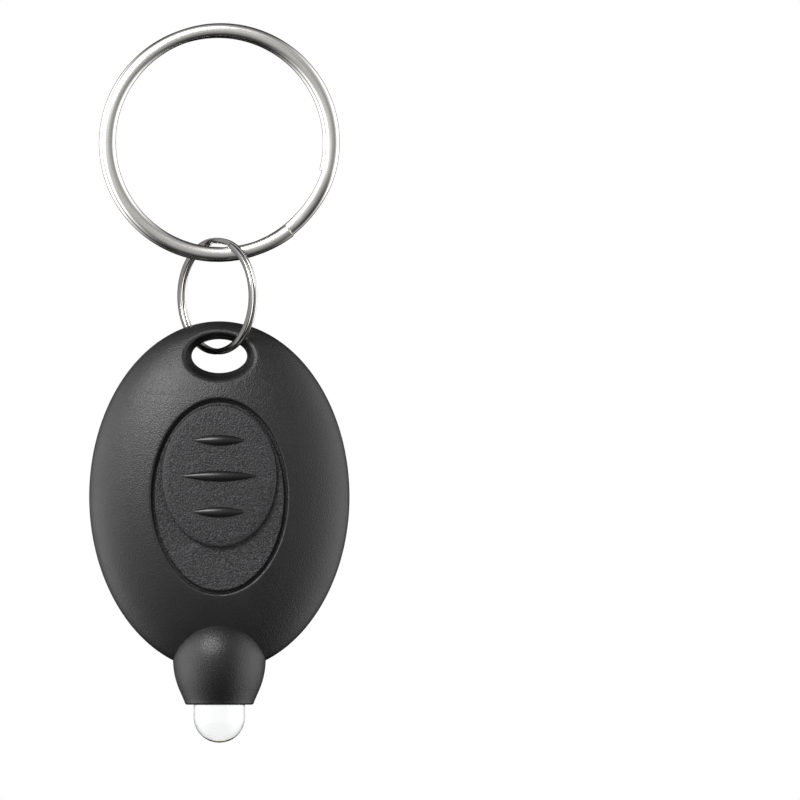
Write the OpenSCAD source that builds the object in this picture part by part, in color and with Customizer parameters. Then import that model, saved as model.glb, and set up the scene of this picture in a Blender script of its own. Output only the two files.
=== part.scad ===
// Keychain flashlight: an oval two-shell case that holds two coin cells and one 5 mm LED,
// with an oval switch plate, a sliding thumb pad, and two split rings.
//
// Row frame: +Z up, the front faces -Y, origin at the centre of the large key ring.
// The case pieces are drawn lying down (x right, y up the case, z out of the front face,
// origin at the middle of the case) and upright() stands them in the row frame.

/* [Case] */
// Width of the case
case_w = 25.4; // [22:0.1:32]
// Height of the case, without the nose
case_h = 34.2; // [31:0.1:44]
// Depth of the front shell at its crown, from the parting plane
front_depth = 4.6; // [4.3:0.05:6]
// Depth of the back shell at its crown, from the parting plane
back_depth = 4; // [3.9:0.05:6]
// Thickness of the shell walls
wall = 0.8; // [0.6:0.05:1.2]
// Fullness of the front dome, 2 is an ellipsoid
front_fullness = 2.1; // [2:0.05:2.6]
// Fullness of the back dome
back_fullness = 3.4; // [3:0.1:4]
// How far the flat rest face cuts into the crown of the back
rest_cut = 0.15; // [0.05:0.01:0.3]

/* [Lanyard slot] */
// Width of the clear opening
slot_w = 5.4; // [5:0.1:7]
// Height of the clear opening
slot_h = 3.28; // [3:0.1:4.5]
// How much wider the slot is at each surface
slot_flare = 0.5; // [0.4:0.05:0.8]
// Size of the softened edge where the slot meets the surface
slot_rim = 0.5; // [0.3:0.05:0.6]
// Plastic between the slot and the top of the case
slot_bar = 1.76; // [1.5:0.05:2.5]

/* [Nose] */
// Largest diameter of the nose
nose_d = 9.06; // [8.6:0.05:11]
// Distance from the middle of the case down to the widest part of the nose
nose_drop = 15.8; // [15:0.1:20]
// Length of the nose below its widest part
nose_len = 4.5; // [4:0.1:6]
// Radius of the barrel curve below the widest part
nose_curve = 7.75; // [6:0.1:12]
// Slope of the taper to the mouth, in degrees
nose_taper = 23.6; // [15:0.5:26]

/* [Switch] */
// Width of the oval switch opening
opening_w = 13.3; // [12.6:0.1:15]
// Height of the oval switch opening
opening_h = 19; // [18:0.1:21]
// Gap all round between the press plate and the opening
plate_gap = 0.3; // [0.2:0.05:0.5]
// How far the press plate sits below the crown of the front dome
plate_sink = 1.05; // [0.9:0.05:1.2]
// Thickness of the press plate
plate_t = 1.05; // [0.9:0.05:1.3]
// Thickness of the plate's hidden flange
flange_t = 0.5; // [0.4:0.05:0.6]
// How far the flange reaches under the shell
flange_w = 1; // [0.6:0.1:1.4]
// Width of the thumb pad
pad_w = 11.2; // [10:0.1:11.6]
// Height of the thumb pad
pad_h = 13.9; // [12.6:0.1:14.2]
// Thickness of the thumb pad at its edge
pad_t = 0.6; // [0.5:0.05:0.8]
// Extra thickness at the middle of the thumb pad
pad_crown = 0.25; // [0.1:0.05:0.4]
// How far the thumb pad slides to lock the light on
slide_travel = 4; // [3.5:0.1:4.2]
// How far the switch presses in
press_travel = 0.5; // [0.4:0.05:0.6]
// Distance between the grip ridges
ridge_pitch = 3.5; // [3:0.1:4]
// Length of the middle grip ridge
ridge_len = 7.3; // [6:0.1:8.5]
// Length of the outer grip ridges
ridge_len_end = 5; // [4:0.1:6]
// Width of a grip ridge
ridge_w = 1.04; // [0.8:0.02:1.2]
// Width of the slider's stem
stem_w = 3; // [2.4:0.1:3.6]
// Height of the slider's stem along the slide
stem_h = 4; // [3:0.1:4.2]
// Thickness of the clip under the plate
clip_t = 0.5; // [0.4:0.05:0.6]

/* [Light emitting diode] */
// Diameter of the lens
led_d = 5; // [4.8:0.1:5.1]
// Length of the lens, collar included
led_len = 8.6; // [8:0.1:9]
// Diameter of the collar
collar_d = 5.8; // [5.6:0.1:6]
// Thickness of the collar
collar_t = 1; // [0.8:0.1:1.2]
// Distance between the two legs
leg_pitch = 2.54; // [2.5:0.01:2.6]
// Side of the square legs
leg_t = 0.45; // [0.4:0.01:0.5]
// How far the lens stands out of the nose
led_proud = 3.7; // [3:0.1:4.2]

/* [Coin cells] */
// Diameter of a cell
cell_d = 20; // [18:0.1:20]
// Thickness of a cell
cell_t = 1.6; // [1.4:0.1:1.6]
// Distance from the middle of the case down to the middle of the cells
cell_drop = 1.5; // [1:0.1:2]
// Height of the front cell's face above the parting plane
cell_front = 0.6; // [0.5:0.05:0.7]
// Play round the cells
cell_play = 0.15; // [0.1:0.05:0.3]

/* [Screws] */
// Shank diameter
screw_d = 1.4; // [1.2:0.1:1.6]
// Head diameter
screw_head_d = 2.4; // [2.2:0.1:2.6]
// Head height
screw_head_t = 0.8; // [0.6:0.1:0.9]
// Shank length
screw_len = 3.6; // [3.2:0.1:4]

/* [Key ring] */
// Outer diameter
key_d = 23.2; // [20:0.1:30]
// Radial width of the wire
key_radial = 1.36; // [1:0.02:1.6]
// Thickness of one coil along the ring's axis
key_axial = 1; // [0.8:0.05:1.2]
// How far the back coil is offset from the front coil
key_shift = 0.3; // [0:0.02:0.4]

/* [Link ring] */
// Outer diameter
link_d = 11.4; // [11:0.1:12]
// Radial width of the wire
link_radial = 0.58; // [0.5:0.02:0.7]
// Thickness of one coil along the ring's axis
link_axial = 0.4; // [0.35:0.01:0.5]
// Angle that the link ring is turned about the vertical
link_turn = 50; // [48:1:60]
// How far the link ring hangs left of centre
link_aside = 0.2; // [0:0.05:0.3]
// How far the link ring reaches down past the top of the case
link_reach = 3.25; // [3.15:0.05:3.4]

/* [Hidden] */

$fn = 96;
eps = 0.01;
far = 40;                       // longer than anything it cuts
fit = 0.05;                     // running clearance of the sliding pieces
dome_steps = 14;                // bands in a dome's profile
hull_fn = 32;

// Coin cells
cells = 2;                      // rear_cell and front_cell
can_t = 0.25;
gasket_t = 0.35;
cap_step = 0.1;                 // how far the lid stands proud of the can
lid_d = cell_d - 2 * can_t - 2 * gasket_t;
face_d = lid_d - 1;

// Case
plate_top = front_depth - plate_sink;
plate_under = plate_top - plate_t;
ceiling = plate_under + flange_t + fit;
slot_y = case_h / 2 - slot_bar - slot_h / 2;
slot_web = 0.3;                 // half thickness of the slot's narrowest band
slot_land = 1;                  // height at which the slot reaches its full flare
cell_back = cell_front - cells * cell_t;
cell_floor = cell_back - 0.02;
channel_floor = cell_back - leg_t - fit;
scoop_y = 9.5;                  // the back slopes away to the slot above this height
scoop_edge = 1.1;               // half thickness of the back at the very top

// Screws, two above and two below the cells
screw_seat = -2.2;
pilot_top = screw_seat + screw_len + 0.2;
boss_d = screw_head_d + 0.5;
screw_reach = cell_d / 2 + cell_play + boss_d / 2 + 0.45;
screw_angles = [60, 120, 241, 299];

// Nose and lens, measured downwards from the middle of the case
nose_r = nose_d / 2;
mouth = nose_drop + nose_len;
led_tip = mouth + led_proud;
led_base = led_tip - led_len;
led_r = led_d / 2;
led_play = 0.1;

// Leads, as heights above the parting plane
leg_z = leg_pitch / 2;
anode_z = cell_back - leg_t / 2;
bump_rest = leg_z + leg_t / 2 + fit;
hump_z = leg_z + press_travel;
cup_r = 1;
cup_bottom = led_base + 2.2;
cup_top = cup_bottom + 1.2;
cup_depth = 0.55;
cup_floor = cup_top - cup_depth;
cup_floor_r = 0.45;
cup_mouth_r = 0.8;
chip_w = 0.36;
chip_t = 0.15;
wire_r = 0.04;

// Switch
slot_play = 0.1;
pad_y = slide_travel / 2;
pad_bottom = plate_top + fit;
clip_top = plate_under - fit;
clip_bottom = clip_top - clip_t;
clip_w = stem_w + 2.6;
clip_rim = 1.4;
bump_r = 0.4;
bump_y = pad_y - stem_h / 2 - 0.7;
pad_border = 0.15;

// Rings
coil_gap = 0.06;
jog_angle = 37;                 // turn over which the wire crosses from one coil to the other
key_end = -52;                  // angle of the front coil's end on the key ring
key_lean = 200;                 // direction in which the key ring's back coil is offset
link_end = 67;                  // the same on the link ring
ring_touch = 0.24;              // play where the link ring hangs on the key ring
key_inner = key_d / 2 - key_radial - key_shift / 2;
link_drop = key_inner - ring_touch + link_d / 2 - link_radial;
case_drop = link_drop + link_d / 2 - link_reach + case_h / 2;   // down to the middle of the case

// ---------- helpers ----------

module upright() {
    translate([0, 0, -case_drop]) rotate([90, 0, 0]) children();
}

// An oval cylinder from z0 to z1
module oval(w, h, z0, z1) {
    translate([0, 0, z0]) linear_extrude(z1 - z0) scale([w / 2, h / 2]) circle(r = 1);
}

// Half of a rounded pebble on the parting plane
module dome(w, h, depth, fullness, steps = dome_steps) {
    function rim(t) = w / 2 * pow(cos(t), 2 / fullness);
    function rise(t) = depth * pow(sin(t), 2 / fullness);
    profile = [for (i = [0 : steps]) let (t = 90 * i / steps) [rim(t), rise(t)]];
    scale([1, h / w, 1]) rotate_extrude() polygon(concat([[0, 0]], profile));
}

// Everything on the front side of a height
module above(z) {
    translate([-far, -far, z]) cube([2 * far, 2 * far, far]);
}

// Everything on the back side of a height
module below(z) {
    translate([-far, -far, z - far]) cube([2 * far, 2 * far, far]);
}

// Outline of a bent strip of even thickness along a path
function unit(v) = v / norm(v);
function side_of(v) = [-v[1], v[0]];
function bend(p, i) =
    let (a = unit(p[max(i, 1)] - p[max(i, 1) - 1]),
         b = unit(p[min(i, len(p) - 2) + 1] - p[min(i, len(p) - 2)]),
         n = unit(side_of(a) + side_of(b)))
    n / (n * side_of(a));
function strip(p, t) = concat(
    [for (i = [0 : len(p) - 1]) p[i] + t / 2 * bend(p, i)],
    [for (i = [len(p) - 1 : -1 : 0]) p[i] - t / 2 * bend(p, i)]);

// A square lead bent along a path of [y, z] points
module lead(path) {
    translate([-leg_t / 2, 0, 0]) rotate([90, 0, 90])
        linear_extrude(leg_t) polygon(strip(path, leg_t));
}

// ---------- case ----------

module nose_form() {
    function barrel_r(a) = nose_r - nose_curve * (1 - cos(a));
    function barrel_y(a) = nose_drop + nose_curve * sin(a);
    arc_end = min(nose_taper, asin(nose_len * 0.8 / nose_curve));
    mouth_r = barrel_r(arc_end) - (mouth - barrel_y(arc_end)) * tan(arc_end);
    mouth_round = 0.3;
    crown = [for (a = [90 : -6 : 6]) [nose_r * cos(a), nose_drop - nose_r * sin(a)]];
    barrel = [for (i = [0 : 5]) let (a = arc_end * i / 5) [barrel_r(a), barrel_y(a)]];
    lip = [for (a = [10, 45, 80])
        [mouth_r - mouth_round * (1 - cos(a)), mouth - mouth_round * (1 - sin(a))]];
    rotate([90, 0, 0]) rotate_extrude()
        polygon(concat(crown, barrel, lip, [[0, mouth]]));
}

module led_room() {
    rotate([90, 0, 0]) {
        translate([0, 0, led_base - led_play])
            cylinder(d = collar_d + 2 * led_play, h = collar_t + 2 * led_play);
        cylinder(d = led_d + 2 * led_play, h = far);
    }
}

// Room for the legs between the lens and the cells
module leg_room() {
    room_w = 3 * leg_t;
    top = cell_drop + cell_d / 2 - 1;
    translate([-room_w / 2, -led_base - eps, channel_floor])
        cube([room_w, led_base - top, ceiling - 0.6 - channel_floor]);
}

module cell_room(z0, z1) {
    translate([0, -cell_drop, z0]) cylinder(d = cell_d + 2 * cell_play, h = z1 - z0);
}

module cell_wall() {
    cell_wall_t = 0.7;
    translate([0, -cell_drop, -far / 2])
        cylinder(d = cell_d + 2 * cell_play + 2 * cell_wall_t, h = far);
}

module at_screws() {
    for (a = screw_angles)
        translate([screw_reach * cos(a), screw_reach * sin(a) - cell_drop, 0]) children();
}

module bosses() {
    at_screws() translate([0, 0, -far / 2]) cylinder(d = boss_d, h = far);
}

module slot_collar() {
    translate([0, slot_y, 0])
        oval(slot_w + 2 * (slot_flare + wall), slot_h + 2 * (slot_flare + wall), -far, far);
}

// The solid that stays inside a shell besides its skin
module ribs() {
    bosses();
    slot_collar();
    nose_form();
    cell_wall();
}

// Cut for the slot: side is 1 for the front shell and -1 for the back shell
module slot_cut(side, surface, slope) {
    wide_w = slot_w + 2 * slot_flare;
    wide_h = slot_h + 2 * slot_flare;
    reach = 1.2;                // length of the rim's cut, so that it clears the surface
    translate([0, slot_y, 0]) {
        oval(slot_w, slot_h, -far, far);
        scale([1, 1, side]) {
            hull() {
                oval(slot_w, slot_h, slot_web, slot_web + eps, $fn = hull_fn);
                oval(wide_w, wide_h, slot_land, slot_land + eps, $fn = hull_fn);
            }
            oval(wide_w, wide_h, slot_land, far);
            translate([0, 0, surface]) rotate([-slope, 0, 0]) hull() {
                oval(wide_w, wide_h, -slot_rim, -slot_rim + eps, $fn = hull_fn);
                oval(wide_w + 2 * reach, wide_h + 2 * reach, reach - slot_rim,
                    reach - slot_rim + eps, $fn = hull_fn);
            }
        }
    }
}

function dome_height(y, depth, fullness) =
    depth * pow(1 - pow(2 * y / case_h, fullness), 1 / fullness);

module front_shell() {
    slot_top = dome_height(slot_y + slot_h / 2, front_depth, front_fullness);
    slot_low = dome_height(slot_y - slot_h / 2, front_depth, front_fullness);
    slope = atan((slot_low - slot_top) / slot_h);
    surface = (slot_top + slot_low) / 2;
    color([0.1, 0.1, 0.11]) upright() difference() {
        union() {
            dome(case_w, case_h, front_depth, front_fullness);
            intersection() {
                nose_form();
                above(0);
            }
        }
        difference() {
            intersection() {
                translate([0, 0, -eps]) dome(case_w - 2 * wall, case_h - 2 * wall,
                    front_depth - wall, front_fullness);
                below(ceiling);
            }
            ribs();
        }
        cell_room(-far, cell_front + cell_play);
        translate([0, -cell_drop, 0]) cylinder(d = cell_d - 2, h = ceiling - 0.6);
        flange_room();
        oval(opening_w, opening_h, 0, far);
        slot_cut(1, surface, slope);
        led_room();
        leg_room();
        at_screws() cylinder(d = screw_d + 2 * eps, h = pilot_top);
    }
}

module flange_room() {
    oval(opening_w + 2 * flange_w, opening_h + 2 * flange_w, 0, ceiling);
}

module back_shell() {
    slope = atan((back_depth - scoop_edge) / (case_h / 2 - scoop_y));
    surface = scoop_edge + (case_h / 2 - slot_y) * tan(slope);
    color([0.1, 0.1, 0.11]) upright() difference() {
        union() {
            mirror([0, 0, 1]) dome(case_w, case_h, back_depth, back_fullness);
            intersection() {
                nose_form();
                below(0);
            }
        }
        difference() {
            intersection() {
                mirror([0, 0, 1]) translate([0, 0, -eps]) dome(case_w - 2 * wall,
                    case_h - 2 * wall, back_depth - wall, back_fullness);
                above(cell_floor);
            }
            ribs();
            scooped_back(slope, wall);
        }
        scooped_back(slope, 0);
        below(rest_cut - back_depth);
        cell_room(cell_floor, far);
        anode_channel();
        slot_cut(-1, surface, slope);
        led_room();
        leg_room();
        at_screws() {
            translate([0, 0, -far]) cylinder(d = screw_head_d + 2 * led_play, h = far + screw_seat);
            translate([0, 0, screw_seat - eps]) cylinder(d = screw_d + 2 * fit, h = far);
        }
    }
}

// What the sloping back takes away near the slot, raised by an inset
module scooped_back(slope, inset) {
    translate([0, case_h / 2, inset / cos(slope) - scoop_edge]) rotate([slope, 0, 0])
        translate([-far / 2, -far, -far]) cube([far, 2 * far, far]);
}

module anode_channel() {
    channel_w = 3 * leg_t;
    translate([-channel_w / 2, -led_base, channel_floor]) cube([channel_w, led_base + 3, far]);
}

// ---------- switch ----------

// An oval plate with a flat border and a crown, standing on z = 0
module oval_button(w, h, edge, border, crown) {
    oval(w, h, 0, edge);
    translate([0, 0, edge - eps]) dome(w - 2 * border, h - 2 * border, crown, 2, 5);
}

module press_plate() {
    w = opening_w - 2 * plate_gap;
    h = opening_h - 2 * plate_gap;
    color([0.12, 0.12, 0.13]) upright() difference() {
        union() {
            oval(w, h, plate_under, plate_top);
            oval(w + 2 * flange_w, h + 2 * flange_w, plate_under, plate_under + flange_t);
        }
        translate([-stem_w / 2 - slot_play, -(stem_h + slide_travel) / 2 - slot_play, 0])
            cube([stem_w + 2 * slot_play, stem_h + slide_travel + 2 * slot_play, far]);
    }
}

// A grip ridge: a spindle with pointed ends, half sunk in the pad
module ridge(len, width) {
    arc_steps = 8;
    spindle = [for (i = [0 : arc_steps]) let (t = 2 * i / arc_steps - 1)
        [width / 2 * (1 - t * t), t * len / 2]];
    rotate([0, 90, 0]) rotate_extrude() polygon(spindle);
}

module thumb_slider() {
    color([0.12, 0.12, 0.13]) upright() translate([0, pad_y, 0]) {
        translate([0, 0, pad_bottom]) oval_button(pad_w, pad_h, pad_t, pad_border, pad_crown);
        for (i = [-1 : 1])
            translate([0, i * ridge_pitch, pad_bottom + pad_t + pad_crown * 0.75])
                ridge(i == 0 ? ridge_len : ridge_len_end, ridge_w);
        translate([-stem_w / 2, -stem_h / 2, clip_bottom])
            cube([stem_w, stem_h, pad_bottom + fit - clip_bottom]);
    }
}

module slider_clip() {
    color([0.85, 0.85, 0.82]) upright() {
        difference() {
            translate([-clip_w / 2, pad_y - stem_h / 2 - clip_rim, clip_bottom])
                cube([clip_w, stem_h + 2 * clip_rim, clip_t]);
            translate([-stem_w / 2, pad_y - stem_h / 2, 0]) cube([stem_w, stem_h, far]);
        }
        translate([0, bump_y, 0]) intersection() {
            translate([-clip_w / 4, 0, bump_rest + bump_r]) rotate([0, 90, 0])
                cylinder(r = bump_r, h = clip_w / 2);
            below(clip_bottom + eps);
        }
    }
}

// ---------- light emitting diode ----------

module lens_form() {
    rotate([90, 0, 0]) {
        translate([0, 0, led_base]) cylinder(d = collar_d, h = collar_t);
        translate([0, 0, led_base]) cylinder(r = led_r, h = led_len - led_r);
        translate([0, 0, led_tip - led_r]) sphere(r = led_r);
    }
}

module led_lens() {
    color([0.9, 0.93, 0.95, 0.5]) upright() difference() {
        lens_form();
        anode_form();
        cathode_form();
        bond_form();
    }
}

module anode_form() {
    lead([[-cup_top, -leg_z], [-led_base + 1.6, -leg_z],
        [-led_base + 3.2, anode_z], [2, anode_z]]);
}

module led_anode() {
    color([0.75, 0.75, 0.77]) upright() anode_form();
}

// The cathode with its cup filled in
module cathode_form() {
    rotate([90, 0, 0]) translate([0, 0, cup_bottom]) cylinder(r = cup_r, h = cup_top - cup_bottom);
    lead([[-cup_bottom - 0.3, cup_r / 2], [-led_base - 1.2, leg_z], [bump_y - slide_travel - 1.2, leg_z],
        [bump_y - slide_travel - 0.5, hump_z], [bump_y - slide_travel + 0.5, hump_z],
        [bump_y - slide_travel + 1.2, leg_z], [3, leg_z]]);
}

module cup_fill() {
    rotate([90, 0, 0]) translate([0, 0, cup_floor])
        cylinder(r1 = cup_floor_r, r2 = cup_mouth_r, h = cup_depth);
}

module led_cathode() {
    color([0.78, 0.78, 0.8]) upright() difference() {
        cathode_form();
        cup_fill();
    }
}

module chip_form() {
    translate([-chip_w / 2, -cup_floor - chip_t, -chip_w / 2]) cube([chip_w, chip_t, chip_w]);
}

module led_chip() {
    color([0.3, 0.5, 0.75]) upright() chip_form();
}

// The wire bows from the top of the chip over to the anode post
module bond_form() {
    post_top = cup_floor + chip_t;
    translate([0, -post_top, -leg_z / 2]) rotate([0, 90, 0]) rotate([0, 0, 180])
        rotate_extrude(angle = 180) translate([leg_z / 2, 0]) circle(r = wire_r, $fn = 24);
}

module led_phosphor() {
    color([0.95, 0.85, 0.25]) upright() difference() {
        cup_fill();
        chip_form();
        bond_form();
    }
}

module bond_wire() {
    color([0.9, 0.7, 0.2]) upright() difference() {
        bond_form();
        anode_form();
        chip_form();
    }
}

// ---------- coin cells ----------

module at_cell(i) {
    upright() translate([0, -cell_drop, cell_back + i * cell_t]) children();
}

module cell_can(i) {
    color([0.8, 0.8, 0.82]) at_cell(i) difference() {
        cylinder(d = cell_d, h = cell_t - cap_step);
        translate([0, 0, can_t]) cylinder(d = cell_d - 2 * can_t, h = far);
    }
}

module cell_gasket(i) {
    color([0.2, 0.25, 0.35]) at_cell(i) difference() {
        translate([0, 0, can_t]) cylinder(d = cell_d - 2 * can_t, h = cell_t - cap_step - can_t);
        translate([0, 0, can_t + gasket_t]) cylinder(d = lid_d, h = far);
        cylinder(d = lid_d - 2, h = far);
    }
}

module cell_cap(i) {
    lid_t = 0.22;
    rim_z = cell_t - cap_step - lid_t;
    color([0.72, 0.72, 0.74]) at_cell(i) difference() {
        union() {
            translate([0, 0, can_t + gasket_t]) cylinder(d = lid_d, h = rim_z - can_t - gasket_t);
            cylinder(d = face_d, h = cell_t);
        }
        translate([0, 0, -eps]) cylinder(d = face_d - 2 * lid_t, h = cell_t - lid_t + eps);
        translate([0, 0, -eps]) cylinder(d = far, h = can_t + gasket_t + eps);
    }
}

module rear_cell_can() { cell_can(0); }
module rear_cell_gasket() { cell_gasket(0); }
module rear_cell_cap() { cell_cap(0); }
module front_cell_can() { cell_can(1); }
module front_cell_gasket() { cell_gasket(1); }
module front_cell_cap() { cell_cap(1); }

// Keeps the cathode off the rim of the front cell's can
module insulator_ring() {
    ring_t = 0.1;
    color([0.75, 0.72, 0.6]) upright() translate([0, -cell_drop, cell_front]) difference() {
        cylinder(d = cell_d - 0.2, h = ring_t);
        translate([0, 0, -eps]) cylinder(d = lid_d - 3, h = far);
    }
}

// ---------- screws ----------

module screw() {
    recess = [1.4, 0.3, 0.35];      // length, width and depth of one arm of the cross
    difference() {
        union() {
            cylinder(d = screw_d, h = screw_len);
            translate([0, 0, -screw_head_t]) cylinder(d = screw_head_d, h = screw_head_t);
        }
        for (a = [0, 90])
            rotate([0, 0, a]) translate([-recess[0] / 2, -recess[1] / 2, -screw_head_t - eps])
                cube(recess);
    }
}

module case_screws() {
    color([0.6, 0.6, 0.62]) upright() at_screws() translate([0, 0, screw_seat]) screw();
}

// ---------- rings ----------

// A split ring about the Y axis: one wire that makes a front coil, crosses over and makes a
// back coil. The front coil starts at the angle end_a, and the coils are shifted apart.
module split_ring(d, radial, axial, end_a, shift, lean, step) {
    sides = 12;
    turn = 720 - jog_angle;
    coil = 360 - jog_angle;
    mid_r = (d - radial) / 2;
    rows = ceil(turn / step);
    pitch = axial + coil_gap;
    soften = 0.75;              // under 1 squares the wire's section
    function ease(t) = t * t * (3 - 2 * t);
    function back(s) = ease(min(max((s - coil) / jog_angle, 0), 1)) - 0.5;
    function squared(c) = sign(c) * pow(abs(c), soften);
    function wire_point(s, k) =
        let (a = end_a - s,
             r = mid_r + radial / 2 * squared(cos(k * 360 / sides)),
             off = shift * back(s))
        [r * cos(a) + off * cos(lean),
            pitch * back(s) + axial / 2 * squared(sin(k * 360 / sides)),
            r * sin(a) + off * sin(lean)];
    points = [for (i = [0 : rows]) for (k = [0 : sides - 1]) wire_point(turn * i / rows, k)];
    walls = [for (i = [0 : rows - 1]) for (k = [0 : sides - 1])
        let (a = i * sides + k, b = i * sides + (k + 1) % sides)
        [a, b, b + sides, a + sides]];
    start = [for (k = [sides - 1 : -1 : 0]) k];
    end = [for (k = [0 : sides - 1]) rows * sides + k];
    polyhedron(points, concat(walls, [start, end]), convexity = 8);
}

module key_ring() {
    color([0.8, 0.8, 0.78]) split_ring(key_d, key_radial, key_axial, key_end, key_shift, key_lean, 5);
}

module link_ring() {
    color([0.82, 0.82, 0.8]) translate([-link_aside, 0, -link_drop]) rotate([0, 0, -link_turn])
        split_ring(link_d, link_radial, link_axial, link_end, 0, 0, 7.5);
}

front_shell();
back_shell();
press_plate();
thumb_slider();
slider_clip();
led_lens();
led_anode();
led_cathode();
led_chip();
led_phosphor();
bond_wire();
rear_cell_can();
rear_cell_gasket();
rear_cell_cap();
front_cell_can();
front_cell_gasket();
front_cell_cap();
insulator_ring();
case_screws();
key_ring();
link_ring();
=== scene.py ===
"""Looks for the keychain flashlight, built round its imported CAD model.

The case, switch, lens, screws and rings are remeshed finely here, inside the outer sizes that the frame
gives, and the pieces inside the case keep their CAD meshes. Lengths are in millimetres in the case's own
axes (x right, y up the case, z out of the face) until piece() stands them in the frame in metres.
"""

import math

import bpy
import numpy as np
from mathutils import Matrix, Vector
from mathutils.geometry import delaunay_2d_cdt


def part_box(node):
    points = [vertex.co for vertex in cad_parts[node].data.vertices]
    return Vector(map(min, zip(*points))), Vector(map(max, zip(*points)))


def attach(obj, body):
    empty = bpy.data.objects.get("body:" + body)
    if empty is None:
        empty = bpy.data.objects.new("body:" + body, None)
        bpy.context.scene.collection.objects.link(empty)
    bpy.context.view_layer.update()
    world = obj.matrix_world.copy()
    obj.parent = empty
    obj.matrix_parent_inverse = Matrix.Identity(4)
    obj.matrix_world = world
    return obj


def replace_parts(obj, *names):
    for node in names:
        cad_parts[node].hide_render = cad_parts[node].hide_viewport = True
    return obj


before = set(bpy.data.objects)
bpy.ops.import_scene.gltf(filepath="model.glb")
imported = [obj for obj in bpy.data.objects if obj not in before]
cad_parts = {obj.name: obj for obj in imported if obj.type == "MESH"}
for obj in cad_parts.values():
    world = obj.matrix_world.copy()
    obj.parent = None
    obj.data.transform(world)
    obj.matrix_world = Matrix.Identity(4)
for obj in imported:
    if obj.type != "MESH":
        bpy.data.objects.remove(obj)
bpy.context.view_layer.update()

MM = 0.001
TAU = 2 * math.pi


# ---------- sizes: the outer ones from the frame, then the finer ones ----------

def box_mm(node):
    """Lowest and highest corner of a CAD node in millimetres."""
    low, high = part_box(node)
    return np.array(low) / MM, np.array(high) / MM


shell_low, shell_high = box_mm("front_shell")
_, back_high = box_mm("back_shell")
plate_low, plate_high = box_mm("press_plate")
pad_low, pad_high = box_mm("thumb_slider")
lens_low, lens_high = box_mm("led_lens")
key_low, key_high = box_mm("key_ring")
link_low, link_high = box_mm("link_ring")

CASE_SHAPE = 34.2 / 25.4        # the case's height over its width
CASE_A = min(shell_high[0], -shell_low[0])
CASE_B = CASE_A * CASE_SHAPE
CASE_MID = shell_high[2] - CASE_B
MOUTH = CASE_MID - shell_low[2]
FRONT_SHARE = 0.3622            # depth of the front dome over half the case's width
FRONT_DEPTH = CASE_A * FRONT_SHARE
BACK_FLAT = back_high[1]
CROWN_CUT = 0.15                # how far the flat crown cuts into the dome of the back
BACK_DEPTH = BACK_FLAT + CROWN_CUT
FRONT_FULLNESS = 2.1            # 2 is an ellipsoid, and more is boxier
BACK_FULLNESS = 3.4
SCOOP_FROM = 9.5                # where the back starts to slope towards the slot
SCOOP_EDGE = 1.1                # height that is left at the top edge
SCOOP_SLOPE = (BACK_DEPTH - SCOOP_EDGE) / (CASE_B - SCOOP_FROM)
SCOOP_BLEND = 0.5
CROWN_BLEND = 0.1
LIP = 0.08                      # half width of the parting groove
GROOVE = 0.06                   # depth of the parting groove
JOINT_WIDTH = 0.8               # how far in the shells' joint is made
NOSE_JOINT_WIDTH = 0.6
SIDE_POINTS = 281               # points along each row on the side of a shell
SIDE_ROWS = 12                  # rows of faces up the steep side of a shell
SIDE_DEPTH = 0.16               # how far in from the outline they reach
RIM_BLEND = 0.35                # width of the structured faces round a hole's rim
SEAM_MARGIN = 0.001             # share of the outline left between the side and the nose's seam
SKIN_RINGS = 64
SKIN_AROUND = 220
SKIN_TWIST = 2.4                # turns each ring of points against the next
SKIN_CLEAR = 0.09               # space that the points leave along edges

SLOT_A = 2.7
SLOT_B = 1.64
SLOT_FLARE = 0.5
SLOT_RIM = 0.6
SLOT_STRAP = 1.76               # material between the slot and the top of the case
SLOT_Y = CASE_B - SLOT_STRAP - SLOT_B
SLOT_WEB = 0.3
SLOT_LAND = 1.0
SLOT_STEPS = 6

OPENING_A = 6.65
OPENING_B = 9.5
OPENING_RIM = 0.25
CEILING = 3.05                  # underside of the front shell's face
CEILING_EDGE = 0.05
CEILING_SEEN = 0.6              # how far in the underside is made
OVAL_POINTS = 220

NOSE_R = 4.53
NOSE_WIDEST = 4.5               # from the mouth up to the nose's widest part
NOSE_DROP = MOUTH - NOSE_WIDEST
NOSE_CURVE = 7.75               # radius of the curve down its barrel's side
NOSE_TAPER = math.radians(23.6)
NOSE_REACH = 2.5                # how far below the widest part the case can end
NOSE_POINTS = 97
NOSE_STEPS = 36
MOUTH_ROUND = 0.3
MOUTH_STEPS = 6
BORE_R = 2.6
BORE_ROUND = 0.12
BORE_SEEN = 3                   # how far up the bore is made
HALVINGS = 50                   # steps of the search for the nose's seam

FLANGE = 1.0
FLANGE_T = 0.5
FLANGE_EDGE = 0.1
PLATE_A = (plate_high[0] - plate_low[0]) / 2 - FLANGE
PLATE_B = (plate_high[2] - plate_low[2]) / 2 - FLANGE
PLATE_TOP = -plate_low[1]
PLATE_UNDER = -plate_high[1]
PLATE_EDGE = 0.12
PLATE_INSET = 0.2               # width of the structured faces along the plate's edge
FLANGE_TOP = PLATE_UNDER + FLANGE_T

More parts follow.
